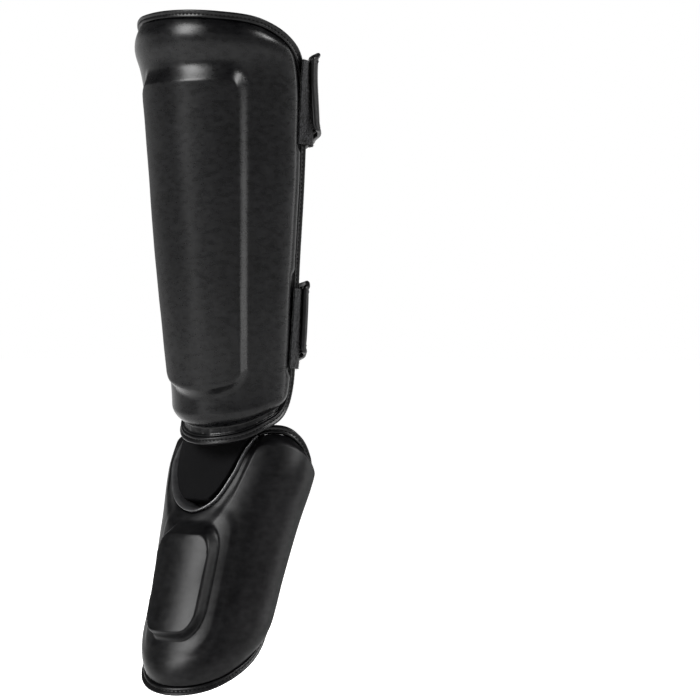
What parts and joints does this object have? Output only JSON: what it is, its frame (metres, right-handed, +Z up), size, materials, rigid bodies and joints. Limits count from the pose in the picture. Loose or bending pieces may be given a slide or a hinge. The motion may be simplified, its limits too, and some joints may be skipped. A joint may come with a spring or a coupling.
{
  "type": "shin and instep guard",
  "caption": "Padded shin plate with an attached instep plate, calf straps closed by hook and loop, a stretch panel at the ankle and elastics for heel and foot, in its worn form.",
  "frame": {"origin": "on the axis of the leg that wears it, halfway between the calf straps' seams", "axes": "+X to the wearer's left, +Y to the back of the leg, +Z up the leg"},
  "size_m": [0.1559, 0.1594, 0.5435],
  "materials": {
    "leather": "satin, fine grain",
    "edging": "satin",
    "lining": "smooth matt",
    "knit": "matt knit",
    "elastic": "ribbed matt",
    "fuzz": "looped pile"
  },
  "bodies": {
    "root": {"shin_shell": "leather", "shin_lining": "lining", "instep_shell": "leather", "instep_lining": "lining", "shin_binding": "edging", "instep_binding": "edging", "throat_piping": "edging", "upper_strap": "leather", "upper_strap_piping": "edging", "upper_hook_pad": "fuzz", "upper_loop_tab": "fuzz", "lower_strap": "leather", "lower_strap_piping": "edging", "lower_hook_pad": "fuzz", "lower_loop_tab": "fuzz", "ankle_gusset": "knit", "ankle_elastic": "elastic", "foot_elastic": "elastic"}
  },
  "joints": []
}
